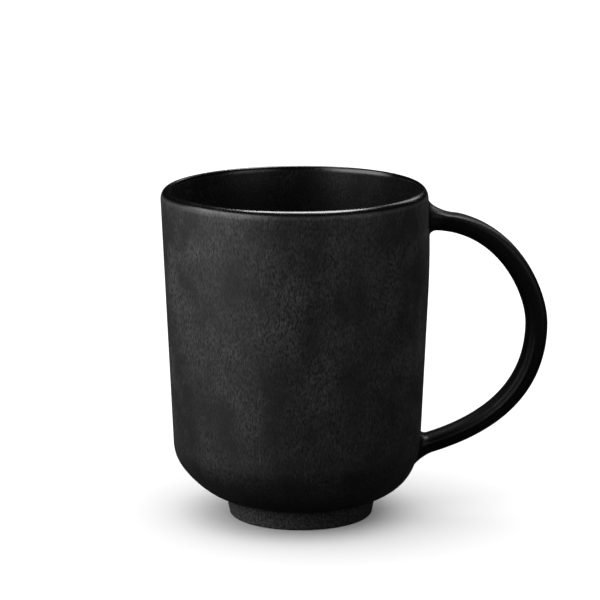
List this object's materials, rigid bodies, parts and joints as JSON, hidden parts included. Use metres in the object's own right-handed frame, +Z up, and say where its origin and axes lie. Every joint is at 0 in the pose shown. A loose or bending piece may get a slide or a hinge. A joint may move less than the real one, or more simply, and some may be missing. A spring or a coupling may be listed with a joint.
{
  "type": "mug",
  "caption": "Straight-sided stoneware mug with a rounded base on a turned foot ring and a large round loop handle, in satin-matte black glaze.",
  "frame": {"origin": "middle of the foot ring's underside, on the surface that the mug stands on", "axes": "+Z up out of the mouth, +X towards the handle, and the handle's loop lies in the XZ plane"},
  "size_m": [0.1197, 0.084, 0.1034],
  "materials": {
    "glaze": "satin",
    "bare_clay": "matte"
  },
  "bodies": {
    "root": {"cup_body": "glaze", "foot_ring": "bare_clay", "handle": "glaze", "upper_handle_joint": "glaze", "lower_handle_joint": "glaze"}
  },
  "joints": []
}
